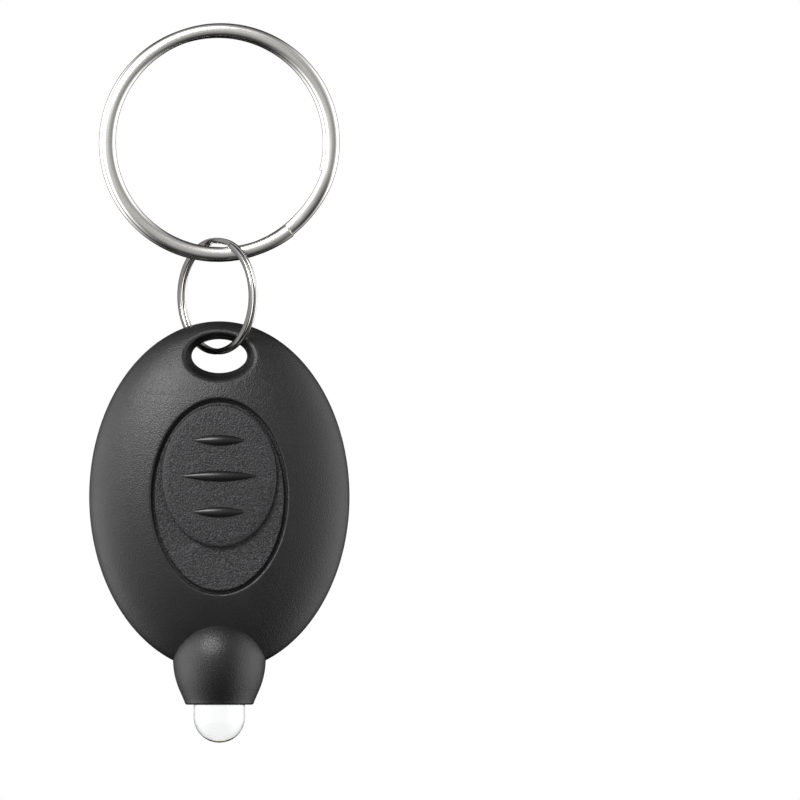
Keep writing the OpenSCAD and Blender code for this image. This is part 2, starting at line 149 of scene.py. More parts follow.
PAD_A = (pad_high[0] - pad_low[0]) / 2
PAD_B = (pad_high[2] - pad_low[2]) / 2
PAD_Y = (pad_high[2] + pad_low[2]) / 2 - CASE_MID
PAD_LIFT = 0.05                 # space between the pad and the plate
PAD_BOTTOM = PLATE_TOP + PAD_LIFT
PAD_EDGE = 0.6
PAD_UNDERCUT = 0.08
PAD_BEVEL = 0.26
PAD_CROWN = 0.22
PAD_POINTS = 200
PAD_RINGS = 16
PAD_RING_STEP = 12              # points that each ring has more than the one inside it
PAD_CLEAR = 0.12
STEM_W = 3
STEM_L = 4
STEM_CORNER = 0.1
STEM_BOTTOM = -pad_high[1]
STEM_GAP = 0.1                  # space on each side of the stem in the plate's slot
SLIDE_TRAVEL = 4
RIDGES = [(-1, 5.2), (0, 7.6), (1, 5.2)]        # place in steps of the pitch, and length
RIDGE_PITCH = 3.5
RIDGE_HEIGHT = 0.42
RIDGE_WIDTH = 1.04
RIDGE_STEPS = 36
RIDGE_ACROSS = 12
RIDGE_MARGIN = 0.0001           # keeps a ridge's outline from counting as inside

SCREW_ANGLES = (60, 120, 241, 299)
SCREW_REACH = 12.05
SCREW_MID_Y = -1.5              # middle of the ring on which the screws lie
SCREW_SEAT = 2.2
SCREW_HOLE_R = 1.3
SCREW_HOLE_RIM = 0.12
SCREW_SEAT_EDGE = 0.05
SCREW_SEAT_SEEN = 0.5
SCREW_HEAD_R = 1.2
SCREW_HEAD_T = 0.8
SCREW_CROWN = ((0, 0.3), (0.06, 0.13), (0.2, 0.04), (0.4, 0))   # (in, down) round the head's edge
SCREW_SHANK = ((0.7, 0), (0.7, 3.4), (0.5, 3.6))                # (radius, depth under the head)
CROSS_REACH = 0.7
CROSS_HALF = 0.15
CROSS_DEPTH = 0.35
CROSS_TAPER = 0.94              # size of the recess's floor over its mouth
SCREW_POINTS = 48

COLLAR_RIM = 0.4
COLLAR_R = (lens_high[0] - lens_low[0]) / 2
COLLAR_T = 1.0
COLLAR_EDGE = 0.1
LED_R = COLLAR_R - COLLAR_RIM
LED_FILLET = 0.05
BALL_STEPS = 24

KEY_RADIAL = 1.36
KEY_AXIAL = 1.0
KEY_SHIFT = 0.3                 # how far the back coil lies off the front one
KEY_LEAN = math.radians(200)    # and in which direction
KEY_END = -52                   # angle at which the front coil starts
KEY_PAINTED_SHADE_TURN = 0                    # angle round the wire of its painted shade lines, at the ring's inner and outer edges
KEY_ROWS = 460
LINK_RADIAL = 0.58
LINK_AXIAL = 0.4
LINK_TURN = 50                  # degrees out of the plane of the case's face
LINK_END = 67
# angle round the link's wire of its painted shade lines, between its coils
LINK_PAINTED_SHADE_TURN = 90
LINK_ROWS = 300
LINK_R = (link_high[2] - link_low[2]) / 2
LINK_X = (link_high[0] + link_low[0]) / 2
LINK_Z = (link_high[2] + link_low[2]) / 2
COIL_GAP = 0.06
WIRE_SIDES = 24
WIRE_SOFTEN = 0.85              # under 1 squares the wire's section
WIRE_END = 0.06                 # length of the bevel at each end of the wire
WIRE_END_SIZE = 0.86            # and its size over the wire's
RING_CREASE = 40
SNUG = 0.002                    # keeps the fine wire inside the CAD's coarser one
JOG = 37                        # degrees over which the wire crosses to the back coil


# ---------- mesh helpers ----------

class Surface:
    """The points and faces of one piece while it is being made."""

    def __init__(self):
        self.points = []
        self.faces = []
        self.uv = {}

    def row(self, points):
        """Adds points and returns their numbers."""
        start = len(self.points)
        self.points.extend(tuple(map(float, p)) for p in points)
        return list(range(start, len(self.points)))

    def band(self, a, b, closed=True):
        """Joins two rows of equal length with four-sided faces."""
        for i in range(len(a) if closed else len(a) - 1):
            j = (i + 1) % len(a)
            self.faces.append((a[i], a[j], b[j], b[i]))

    def bands(self, rows, closed=True):
        """Joins each row to the next."""
        for a, b in zip(rows, rows[1:]):
            self.band(a, b, closed)

    def flat(self, numbers):
        """The x and y of numbered points."""
        return np.array([self.points[n][:2] for n in numbers])

    def fill(self, loops, inner=(), holes=(), up=True):
        """Fills the first loop with triangles, round the other loops and through the inner points."""
        numbers = [n for loop in loops for n in loop] + list(inner)
        flat = [Vector(self.points[n][:2]) for n in numbers]
        edges = []
        start = 0
        for loop in loops:
            edges += [(start + i, start + (i + 1) % len(loop)) for i in range(len(loop))]
            start += len(loop)
        verts, _, faces, source, _, _ = delaunay_2d_cdt(flat, edges, [], 1, 1e-7)
        for face in faces:
            centre = sum((verts[i] for i in face), Vector((0, 0))) / len(face)
            if any(hole(centre.x, centre.y) for hole in holes):
                continue
            picked = tuple(numbers[source[i][0]] for i in face)
            self.faces.append(picked if up else picked[::-1])


def ellipse(a, b, mid=(0, 0), offset=0.0, count=160):
    """Outline of an ellipse moved outwards by an offset."""
    t = np.arange(count) * TAU / count
    return ellipse_points(a, b, mid, offset, t)


def ellipse_points(a, b, mid, offset, t):
    """Points at the angles t on an ellipse moved outwards by an offset."""
    normal = np.column_stack([b * np.cos(t), a * np.sin(t)])
    normal /= np.linalg.norm(normal, axis=1)[:, None]
    return np.column_stack([mid[0] + a * np.cos(t), mid[1] + b * np.sin(t)]) + offset * normal


def rounded_box(w, h, r, mid=(0, 0), steps=5):
    """Outline of a rectangle with round corners."""
    points = []
    for corner, (sx, sy) in enumerate([(1, 1), (-1, 1), (-1, -1), (1, -1)]):
        for i in range(steps + 1):
            t = math.pi / 2 * (corner + i / steps)
            points.append((mid[0] + sx * (w / 2 - r) + r * math.cos(t),
                           mid[1] + sy * (h / 2 - r) + r * math.sin(t)))
    return np.array(points)


def lift(points, height):
    """Gives flat points a height, which is a number or a function of x and y."""
    z = height(points[:, 0], points[:, 1]) if callable(height) else np.full(len(points), height)
    return np.column_stack([points, z])


def inside_box(w, h, mid=(0, 0)):
    """A test for whether x and y lie inside an upright rectangle."""
    return lambda x, y: abs(x - mid[0]) < w / 2 and abs(y - mid[1]) < h / 2


def inside_ellipse(a, b, mid=(0, 0)):
    """A test for whether x and y lie inside an ellipse."""
    return lambda x, y: ((x - mid[0]) / a) ** 2 + ((y - mid[1]) / b) ** 2 < 1


def distance(points, edges):
    """How far each flat point is from the nearest of the edge points."""
    return np.array([np.min(np.hypot(*(edges - p).T)) for p in points])


def quarter(radius, steps=6):
    """(offset, drop) pairs from an edge's wall to its face round a quarter circle."""
    angles = [math.pi / 2 * i / steps for i in range(steps + 1)]
    return [(radius * (1 - math.cos(t)), radius * (1 - math.sin(t))) for t in angles]


def lathe(profile, count=96):
    """A surface turned about the case's y axis from (radius, y) points, closed at radius 0."""
    made = Surface()
    rows = []
    for r, y in profile:
        t = np.arange(count if r > 0 else 1) * TAU / count
        rows.append(made.row(np.column_stack([r * np.cos(t), np.full(len(t), y), r * np.sin(t)])))
    for a, b in zip(rows, rows[1:]):
        if len(a) == 1:
            made.faces += [(a[0], b[(i + 1) % count], b[i]) for i in range(count)]
        elif len(b) == 1:
            made.faces += [(b[0], a[i], a[(i + 1) % count]) for i in range(count)]
        else:
            made.band(a, b)
    return made


def piece(name, made, look, body, side=1, crease=35):
    """Stands a finished surface in the frame as one object that rides on a CAD body."""
    points = np.array(made.points)
    placed = np.column_stack([points[:, 0], -side * points[:, 2], CASE_MID + points[:, 1]]) * MM
    faces = made.faces if side > 0 else [face[::-1] for face in made.faces]
    return place(name, placed, faces, look, body, crease, made.uv)


def place(name, points, faces, look, body, crease=35, uv=None):
    """Makes one smooth object, sharp where faces turn by more than the crease, and lets it ride."""
    mesh = bpy.data.meshes.new(name)
    mesh.from_pydata([tuple(p) for p in points], [], [tuple(f) for f in faces])
    mesh.validate()
    mesh.shade_smooth()
    mesh.set_sharp_from_angle(angle=math.radians(crease))
    if uv:
        layer = mesh.uv_layers.new(name="along")
        for loop in mesh.loops:
            layer.data[loop.index].uv = uv[loop.vertex_index]
    mesh.materials.append(look)
    made = bpy.data.objects.new(name, mesh)
    bpy.context.collection.objects.link(made)
    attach(made, body)
    return made


# ---------- materials ----------

GLOSS_PATCH = 4.0               # size of the slow changes of gloss, in millimetres
GLOSS_CHANGE = 0.04
SPARKLE = 0.05
WEAR_PATCH = 0.5
CELL_SIZE = 1.6                 # size of the grain's cells over its noise
CELL_SHARE = 0.6
MARK_STRETCH = (0.00004, 0.004, 1)              # long thin marks, from uv in millimetres
SCRATCH_STRETCH = (1, 1, 0.1)
# Painted shade: a dark line along two opposite sides of each wire's section, at its edges and between
# its coils.
PAINTED_SHADE_COLOUR = (0.03, 0.03, 0.03)
PAINTED_SHADE_STRENGTH = 0.9
PAINTED_SHADE_FADE = 0.1


class Look:
    """A small wrapper that makes node materials readable."""

    def __init__(self, name):
        self.material = bpy.data.materials.new(name)
        self.material.use_nodes = True
        self.nodes = self.material.node_tree.nodes
        self.links = self.material.node_tree.links
        self.shader = self.nodes["Principled BSDF"]
        self.place = self.nodes.new("ShaderNodeTexCoord")

    def set(self, **values):
        """Sets constant values on the shader's own sockets."""
        for name, value in values.items():
            self.shader.inputs[name.replace("_", " ")].default_value = value

    def link(self, output, name):
        """Joins a node's output to one of the shader's sockets."""
        self.links.new(output, self.shader.inputs[name])

    def stretched(self, output, scale):
        """Coordinates scaled differently along each axis."""
        mapping = self.nodes.new("ShaderNodeMapping")
        mapping.inputs["Scale"].default_value = scale
        self.links.new(self.place.outputs[output], mapping.inputs["Vector"])
        return mapping.outputs["Vector"]

    def noise(self, size_mm, detail=3.0, rough=0.5, vector=None):
        """Noise whose grains are about size_mm across."""
        noise = self.nodes.new("ShaderNodeTexNoise")
        noise.inputs["Scale"].default_value = 1 / (size_mm * MM)
        noise.inputs["Detail"].default_value = detail
        noise.inputs["Roughness"].default_value = rough
        self.links.new(vector or self.place.outputs["Object"], noise.inputs["Vector"])
        return noise.outputs["Fac"]

    def cells(self, size_mm):
        """Rounded cells about size_mm across, for a moulded grain."""
        cells = self.nodes.new("ShaderNodeTexVoronoi")
        cells.feature = "SMOOTH_F1"
        cells.inputs["Scale"].default_value = 1 / (size_mm * MM)
        cells.inputs["Smoothness"].default_value = 0.5
        self.links.new(self.place.outputs["Object"], cells.inputs["Vector"])
        return cells.outputs["Distance"]

    def spread(self, value, low, high, start=0.3, end=0.7):
        """Maps a value's range start..end to low..high, which are numbers."""
        spread = self.nodes.new("ShaderNodeMapRange")
        for name, number in (("From Min", start), ("From Max", end), ("To Min", low), ("To Max", high)):
            spread.inputs[name].default_value = number
        self.links.new(value, spread.inputs["Value"])
        return spread.outputs["Result"]

    def math(self, kind, a, b):
        """One sum of two values, either of which may be a number."""
        node = self.nodes.new("ShaderNodeMath")
        node.operation = kind
        for slot, value in enumerate((a, b)):
            if isinstance(value, (int, float)):
                node.inputs[slot].default_value = value
            else:
                self.links.new(value, node.inputs[slot])
        return node.outputs["Value"]

    def blend(self, factor, a, b):
        """A colour between a and b, either of which may be the output of a node."""
        mix = self.nodes.new("ShaderNodeMix")
        mix.data_type = "RGBA"
        self.links.new(factor, mix.inputs["Factor"])
        for slot, colour in (("A", a), ("B", b)):
            if isinstance(colour, tuple):
                mix.inputs[slot].default_value = (*colour, 1)
            else:
                self.links.new(colour, mix.inputs[slot])
        return mix.outputs["Result"]

    def across(self):
        """Where a point lies round a wire's section, from -1 on one line of painted shade to 1 on the
        other.
        """
        split = self.nodes.new("ShaderNodeSeparateXYZ")
        self.links.new(self.place.outputs["UV"], split.inputs["Vector"])
        return split.outputs["Y"]

    def edges(self, low=0.62, high=0.75):
        """1 on sharp outer edges and 0 elsewhere, for wear."""
        geometry = self.nodes.new("ShaderNodeNewGeometry")
        return self.spread(geometry.outputs["Pointiness"], 0.0, 1.0, low, high)

    def bump(self, height, depth_mm):
        """Relief depth_mm deep from a height between 0 and 1."""
        bump = self.nodes.new("ShaderNodeBump")
        bump.inputs["Distance"].default_value = depth_mm * MM
        bump.inputs["Strength"].default_value = 1.0
        self.links.new(height, bump.inputs["Height"])
        self.link(bump.outputs["Normal"], "Normal")


def moulded_plastic(name, colour, worn, roughness, grain_mm, depth_mm, specular=0.5, fleck=0.0):
    """Moulded plastic with a grain, slow changes of gloss, slightly worn edges and pale flecks."""
    look = Look(name)
    look.set(Specular_IOR_Level=specular)
    slow = look.noise(GLOSS_PATCH)
    fine = look.noise(grain_mm, detail=2.0)
    wear = look.math("MULTIPLY", look.edges(), look.noise(WEAR_PATCH))
    pale = look.math("ADD", wear, look.spread(fine, 0.0, fleck, 0.45, 0.8))
    look.link(look.blend(pale, colour, worn), "Base Color")
    gloss = look.spread(slow, roughness - GLOSS_CHANGE, roughness + GLOSS_CHANGE)
    sparkle = look.spread(fine, -SPARKLE, SPARKLE)
    look.link(look.math("ADD", gloss, sparkle), "Roughness")
    cells = look.math("MULTIPLY", look.cells(grain_mm * CELL_SIZE), CELL_SHARE)
    look.bump(look.math("ADD", fine, cells), depth_mm)
    return look.material


def wire_metal(name, colour, dull, roughness, painted_shade_from):
    """Plated steel wire with fine draw marks along its length, and painted shade as dark lines along two
    opposite sides of its section.
    """
    look = Look(name)
    look.set(Metallic=1.0, Anisotropic=0.5)
    marks = look.noise(1.0, detail=4.0, vector=look.stretched("UV", MARK_STRETCH))
    tarnish = look.noise(1.6, detail=5.0, rough=0.6)
    plating = look.blend(look.spread(tarnish, 0.0, 1.0, 0.35, 0.75), colour, dull)
    # Painted shade: the base colour darkens towards the two sides of the section set by the ring's shade
    # angle.
    off_middle = look.math("ABSOLUTE", look.across(), 0.0)
    seam = look.spread(off_middle, 0.0, PAINTED_SHADE_STRENGTH, painted_shade_from, painted_shade_from + PAINTED_SHADE_FADE)
    look.link(look.blend(seam, plating, PAINTED_SHADE_COLOUR), "Base Color")
    brushed = look.spread(marks, roughness - 0.05, roughness + 0.07)
    look.link(look.math("ADD", brushed, look.spread(tarnish, -0.02, 0.04)), "Roughness")
    look.bump(marks, 0.004)
    return look.material


def turned_metal(name, colour, dull, roughness):
    """Plated or stamped steel with fine random scratches."""
    look = Look(name)
    look.set(Metallic=1.0)
    scratches = look.noise(0.15, detail=5.0, vector=look.stretched("Object", SCRATCH_STRETCH))
    stains = look.noise(2.0, detail=4.0)
    look.link(look.blend(look.spread(stains, 0.0, 1.0), colour, dull), "Base Color")
    look.link(look.spread(scratches, roughness - 0.06, roughness + 0.08), "Roughness")
    look.bump(scratches, 0.006)
    return look.material


def clear_epoxy(name):
    """Water-clear cast epoxy with faint flow marks."""
    look = Look(name)
    look.set(Transmission_Weight=1.0, IOR=1.5)
    flow = look.noise(1.2, detail=2.0)
    look.link(look.spread(flow, 0.015, 0.05), "Roughness")
    tint = look.blend(look.spread(flow, 0.0, 1.0), (1.0, 1.0, 1.0), (0.965, 0.975, 0.98))
    look.link(tint, "Base Color")
    look.bump(flow, 0.004)
    return look.material


BLACK = (0.006, 0.006, 0.0065)
BLACK_WORN = (0.02, 0.02, 0.021)
SHELL = moulded_plastic("shell_plastic", BLACK, BLACK_WORN, 0.36, 0.09, 0.03, 0.45)
GRAIN = moulded_plastic("switch_plastic", (0.006, 0.006, 0.007), (0.055, 0.055, 0.058),
                        0.42, 0.12, 0.07, 0.36, 1.0)
RIDGE = moulded_plastic("ridge_plastic", BLACK, BLACK_WORN, 0.3, 0.09, 0.005, 0.5)
CLIP = moulded_plastic("clip_plastic", (0.72, 0.71, 0.66), (0.8, 0.79, 0.75), 0.4, 0.15, 0.01)
PHOSPHOR = moulded_plastic("phosphor", (0.85, 0.7, 0.12), (0.9, 0.8, 0.3), 0.5, 0.03, 0.004)
CHIP = moulded_plastic("chip", (0.1, 0.22, 0.5), (0.2, 0.35, 0.6), 0.2, 0.02, 0.001)
GASKET = moulded_plastic("gasket", (0.05, 0.07, 0.12), (0.1, 0.12, 0.18), 0.45, 0.1, 0.005)
FILM = moulded_plastic("insulator", (0.5, 0.46, 0.33), (0.6, 0.56, 0.45), 0.45, 0.2, 0.004)
# The last number of each wire is where its painted shade lines begin across the section.
NICKEL = wire_metal("ring_nickel", (0.80, 0.79, 0.76), (0.66, 0.64, 0.60), 0.2, 0.86)
# The link's wire is the key ring's nickel made darker: painted shade for the turned ring.
LINK_WIRE_PAINTED_SHADE = wire_metal("link_nickel_painted_shade", (0.58, 0.57, 0.55), (0.46, 0.45, 0.43), 0.2, 0.72)
LEAD = turned_metal("lead_metal", (0.78, 0.78, 0.78), (0.62, 0.62, 0.62), 0.25)
CELL = turned_metal("cell_steel", (0.75, 0.75, 0.76), (0.6, 0.6, 0.62), 0.28)
SCREW = turned_metal("screw_steel", (0.5, 0.5, 0.52), (0.3, 0.3, 0.32), 0.3)
GOLD = turned_metal("bond_gold", (0.9, 0.65, 0.25), (0.8, 0.55, 0.2), 0.2)
LENS = clear_epoxy("lens")


# ---------- case ----------

def front_height(x, y):
    """Height of the front dome, or -1 outside its outline."""
    rho = np.hypot(np.asarray(x) / CASE_A, np.asarray(y) / CASE_B)
    inside = np.clip(1 - rho ** FRONT_FULLNESS, 0, 1)
    return np.where(rho < 1, FRONT_DEPTH * inside ** (1 / FRONT_FULLNESS), -1)


def soft_min(a, b, width):
    """The lower of two heights, with a rounded change over a width."""
    near = np.clip(width - np.abs(a - b), 0, None)
    return np.minimum(a, b) - near ** 2 / (4 * width)


def back_height(x, y):
    """Height of the back: a full dome with a flat crown and a slope down to the slot."""
    rho = np.hypot(np.asarray(x) / CASE_A, np.asarray(y) / CASE_B)
    inside = np.clip(1 - rho ** BACK_FULLNESS, 0, 1)
    dome = BACK_DEPTH * inside ** (1 / BACK_FULLNESS)
    slope = SCOOP_EDGE + (CASE_B - np.asarray(y)) * SCOOP_SLOPE
    height = soft_min(soft_min(dome, slope, SCOOP_BLEND), BACK_FLAT, CROWN_BLEND)
    return np.where(rho < 1, np.maximum(height, 0.0), -1)


def nose_radius(y):
    """Radius of the nose at a height: a ball above its widest part and a barrel below."""
    below = -NOSE_DROP - y
    arc_end = NOSE_CURVE * math.sin(NOSE_TAPER)
    ball = np.sqrt(np.clip(NOSE_R ** 2 - below ** 2, 0, None))
    arc = NOSE_R - NOSE_CURVE + np.sqrt(NOSE_CURVE ** 2 - np.clip(below, 0, arc_end) ** 2)
    taper = arc - np.clip(below - arc_end, 0, None) * math.tan(NOSE_TAPER)
    return np.where(below < 0, ball, taper)


def nose_seam(height, angles):
    """For each angle round the nose, the y at which the nose comes out of the case."""
    low = np.full(len(angles), -NOSE_DROP - NOSE_REACH)
    high = np.full(len(angles), -NOSE_DROP + NOSE_R)
    for _ in range(HALVINGS):
        y = (low + high) / 2
        r = nose_radius(y)
        out = r * np.sin(angles) - height(r * np.cos(angles), y) > 0
        low = np.where(out, y, low)
        high = np.where(out, high, y)
    return (low + high) / 2


def seam_turn(rho, height):
    """The angle on a ring of the case, rho of its full size, at which the nose comes out of it."""
    low = -math.pi / 2
    high = 0.0
    for _ in range(HALVINGS):
        turn = (low + high) / 2
        x = CASE_A * rho * math.cos(turn)
        y = CASE_B * rho * math.sin(turn)
        in_nose = nose_radius(y) ** 2 - x ** 2 > height(x, y) ** 2
        low = turn if in_nose else low
        high = high if in_nose else turn
    return high


def hole_rows(made, outline, height, rim, wall):
    """Rows round a hole from the case's face over a rounded rim and down its wall.

    outline(offset) gives flat points, and wall lists (height, offset) pairs below the rim.
    """
    rows = [made.row(lift(outline(rim + RIM_BLEND), height))]
    for offset, drop in reversed(quarter(rim)):
        ring = lift(outline(offset), height)
        ring[:, 2] -= drop
        rows.append(made.row(ring))
    wall_top = lift(outline(0), height)[:, 2] - rim
    for level, offset in wall:
        rows.append(made.row(np.column_stack([outline(offset), np.minimum(level, wall_top)])))
    made.bands(rows)
    return rows[0]


def side_share(i):
    """How far out row i of the side lies, as a share of the case's full outline."""
    return 1 - SIDE_DEPTH * (i / SIDE_ROWS) ** 2 / CASE_A


def side_wall(made, skin, height, seam):
    """The joint, the parting groove and the steep side, from one end of the seam to the other."""
    start = math.asin(seam[0, 1] / CASE_B)
    turn = np.linspace(start, math.pi - start, SIDE_POINTS)
    outer = ellipse_points(CASE_A, CASE_B, (0, 0), 0, turn)
    outer[0] = seam[0, :2]
    outer[-1] = seam[-1, :2]
    rim = made.row(lift(outer, LIP))
    groove = made.row(lift(ellipse_points(CASE_A, CASE_B, (0, 0), -GROOVE, turn), 0))
    joint = made.row(lift(ellipse_points(CASE_A, CASE_B, (0, 0), -JOINT_WIDTH, turn), LIP / 4))
    rows = [joint, groove, rim]
    for i in range(1, SIDE_ROWS + 1):
        share = side_share(i)
        start = seam_turn(share, height)
        turn = np.linspace(start, math.pi - start, SIDE_POINTS)
        flat = np.column_stack([CASE_A * share * np.cos(turn), CASE_B * share * np.sin(turn)])
        rows.append(made.row(lift(flat, skin)))
    made.bands(rows, closed=False)
    return rows[-1]


def skin_points(height, fullness, edges, tests):
    """Points spread over the dome in rings, clear of its edges, the holes and the nose."""
    t = (np.arange(1, SKIN_RINGS) / SKIN_RINGS * math.pi / 2)[:, None]
    reach = np.cos(t) ** (2 / fullness)
    phi = np.arange(SKIN_AROUND)[None, :] * TAU / SKIN_AROUND + t * SKIN_TWIST
    x = (CASE_A * reach * np.cos(phi)).ravel()
    y = (CASE_B * reach * np.sin(phi)).ravel()
    grid = np.column_stack([x, y])
    on_nose = np.sqrt(np.clip(nose_radius(y) ** 2 - x ** 2, 0, None))
    covered = (on_nose > height(x, y)) & (y < -NOSE_DROP + NOSE_R)
    for inside in tests:
        covered |= inside(x, y)
    within = np.hypot(x / CASE_A, y / CASE_B) < side_share(SIDE_ROWS)
    return grid[(distance(grid, edges) > SKIN_CLEAR) & within & ~covered]


def half_case(height, fullness, holes):
    """One half of the case: skin, parting groove, holes and nose, for heights above the parting plane.

    holes lists (outline, rim, wall, inside) for each hole in the skin.
    """
    made = Surface()

    def skin(x, y):
        """Height of the skin, which stays above the parting groove."""
        return np.maximum(height(x, y), LIP)

    angles = np.linspace(0, math.pi, NOSE_POINTS)
    seam_y = nose_seam(height, angles)
    seam_r = nose_radius(seam_y)
    seam = np.column_stack([seam_r * np.cos(angles), seam_y, np.maximum(seam_r * np.sin(angles), LIP)])
    side = side_wall(made, skin, height, seam)
    on_skin = np.hypot(seam[:, 0] / CASE_A, seam[:, 1] / CASE_B) < side_share(SIDE_ROWS) - SEAM_MARGIN
    loops = [side + made.row(seam[on_skin][::-1])]
    edges = [made.flat(side), seam[:, :2]]
    for outline, rim, wall, _ in holes:
        loop = hole_rows(made, outline, height, rim, wall)
        loops.append(loop)
        edges.append(made.flat(loop))

    tests = [inside for _, _, _, inside in holes]
    inner = made.row(lift(skin_points(height, fullness, np.vstack(edges), tests), skin))
    made.fill(loops, inner, tests)
    nose(made, angles, seam_y)
    return made


def nose(made, angles, seam_y):
    """Half of the nose from its seam with the case to the bore round the lens."""
    def across(radius, y):
        """A row round the half nose, with the parting groove at each end."""
        radius = np.broadcast_to(radius, angles.shape)
        y = np.broadcast_to(y, angles.shape)
        skin = np.column_stack([radius * np.cos(angles), y, np.maximum(radius * np.sin(angles), LIP)])
        inner = min(NOSE_JOINT_WIDTH, radius[0] - BORE_R)
        groove = min(GROOVE, radius[0] - BORE_R)
        right = [(radius[0] - inner, y[0], LIP / 4), (radius[0] - groove, y[0], 0)]
        left = [(groove - radius[-1], y[-1], 0), (inner - radius[-1], y[-1], LIP / 4)]
        return made.row(np.vstack([right, skin, left]))

    lip_top = -MOUTH + MOUTH_ROUND
    rows = []
    for i in range(NOSE_STEPS + 1):
        y = seam_y + (lip_top - seam_y) * i / NOSE_STEPS
        rows.append(across(nose_radius(y), y))
    lip_r = float(nose_radius(np.array(lip_top)))
    for i in range(1, MOUTH_STEPS + 1):
        t = math.pi / 2 * i / MOUTH_STEPS
        inward = lip_r - MOUTH_ROUND * (1 - math.cos(t))
        rows.append(across(inward, lip_top - MOUTH_ROUND * math.sin(t)))
    rows.append(across(BORE_R + BORE_ROUND, -MOUTH))
    rows.append(across(BORE_R + BORE_ROUND / 4, -MOUTH + BORE_ROUND / 3))
    rows.append(across(BORE_R, -MOUTH + BORE_ROUND))
    rows.append(across(BORE_R, -MOUTH + BORE_SEEN))
    made.bands(rows, closed=False)


def slot_hole():
    """The lanyard slot: a flared oval that narrows to its web at the parting plane."""
    a = SLOT_A + SLOT_FLARE
    b = SLOT_B + SLOT_FLARE
    mid = (0, SLOT_Y)
    wall = [(SLOT_LAND, 0)]
    for i in range(1, SLOT_STEPS + 1):
        ease = (1 - math.cos(math.pi * i / SLOT_STEPS)) / 2
        wall.append((SLOT_LAND + (SLOT_WEB - SLOT_LAND) * i / SLOT_STEPS, -SLOT_FLARE * ease))
    wall.append((0, -SLOT_FLARE))
    reach = SLOT_RIM + RIM_BLEND
    return (lambda offset: ellipse(a, b, mid, offset), SLOT_RIM, wall,
            inside_ellipse(a + reach, b + reach, mid))


def switch_hole():
    """The oval opening round the press plate."""
    wall = [(CEILING + CEILING_EDGE, 0), (CEILING, CEILING_EDGE), (CEILING, CEILING_SEEN)]
    reach = OPENING_RIM + RIM_BLEND
    return (lambda offset: ellipse(OPENING_A, OPENING_B, (0, 0), offset, OVAL_POINTS), OPENING_RIM, wall,
            inside_ellipse(OPENING_A + reach, OPENING_B + reach))


def screw_places():
    """The middle of each screw in the case's axes, seen from the front."""
    turns = np.radians(SCREW_ANGLES)
    return np.column_stack([SCREW_REACH * np.cos(turns), SCREW_REACH * np.sin(turns) + SCREW_MID_Y])


def screw_holes():
    """The four sunk holes for the screws in the back."""
    wall = [(SCREW_SEAT + SCREW_SEAT_EDGE, 0), (SCREW_SEAT, -SCREW_SEAT_EDGE),
            (SCREW_SEAT, -SCREW_SEAT_SEEN)]
    reach = SCREW_HOLE_R + SCREW_HOLE_RIM + RIM_BLEND

    def hole(mid):
        """One hole, round the middle of its screw."""
        return (lambda offset: ellipse(SCREW_HOLE_R, SCREW_HOLE_R, mid, offset, SCREW_POINTS),
                SCREW_HOLE_RIM, wall, inside_ellipse(reach, reach, mid))

    return [hole(mid) for mid in screw_places()]


def make_case():
    """The two shells, each with its half of the nose."""
    front = half_case(front_height, FRONT_FULLNESS, [slot_hole(), switch_hole()])
    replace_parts(piece("front_case", front, SHELL, "case"), "front_shell")
    back = half_case(back_height, BACK_FULLNESS, [slot_hole()] + screw_holes())
    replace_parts(piece("back_case", back, SHELL, "case", side=-1), "back_shell")


# ---------- switch ----------

def make_plate():
    """The oval press plate with its flange and the slot for the slider's stem."""
    made = Surface()
    slot_w = STEM_W + 2 * STEM_GAP
    slot_l = STEM_L + SLIDE_TRAVEL + 2 * STEM_GAP

    def slot(grow, level):
        """A row round the slot, grown on all sides."""
        corner = STEM_CORNER + STEM_GAP / 2 + grow
        return made.row(lift(rounded_box(slot_w + 2 * grow, slot_l + 2 * grow, corner), level))

    def oval(offset, level):
        """A row along the plate's edge, moved outwards."""
        return made.row(lift(ellipse(PLATE_A, PLATE_B, (0, 0), offset, OVAL_POINTS), level))

    outer = [oval(-PLATE_INSET, PLATE_TOP)]
    outer += [oval(-bevel, PLATE_TOP - drop) for bevel, drop in reversed(quarter(PLATE_EDGE))]
    outer.append(oval(0, FLANGE_TOP))
    outer.append(oval(FLANGE - FLANGE_EDGE, FLANGE_TOP))
    outer.append(oval(FLANGE, FLANGE_TOP - FLANGE_EDGE))
    outer.append(oval(FLANGE, PLATE_UNDER))
    made.bands(outer[::-1])
    inner = [slot(PLATE_EDGE, PLATE_TOP), slot(PLATE_EDGE / 2, PLATE_TOP),
             slot(0, PLATE_TOP - PLATE_EDGE / 2), slot(0, PLATE_UNDER)]
    made.bands(inner)
    hole = inside_box(slot_w, slot_l)
    made.fill([outer[0], inner[0]], holes=[hole])
    made.fill([outer[-1], inner[-1]], holes=[hole], up=False)
    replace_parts(piece("switch_plate", made, GRAIN, "plate"), "press_plate")


def pad_height(x, y):
    """Height of the thumb pad's crowned face."""
    rho2 = (x / PAD_A) ** 2 + ((y - PAD_Y) / PAD_B) ** 2
    return PAD_BOTTOM + PAD_EDGE + PAD_CROWN * np.clip(1 - rho2, 0, 1)


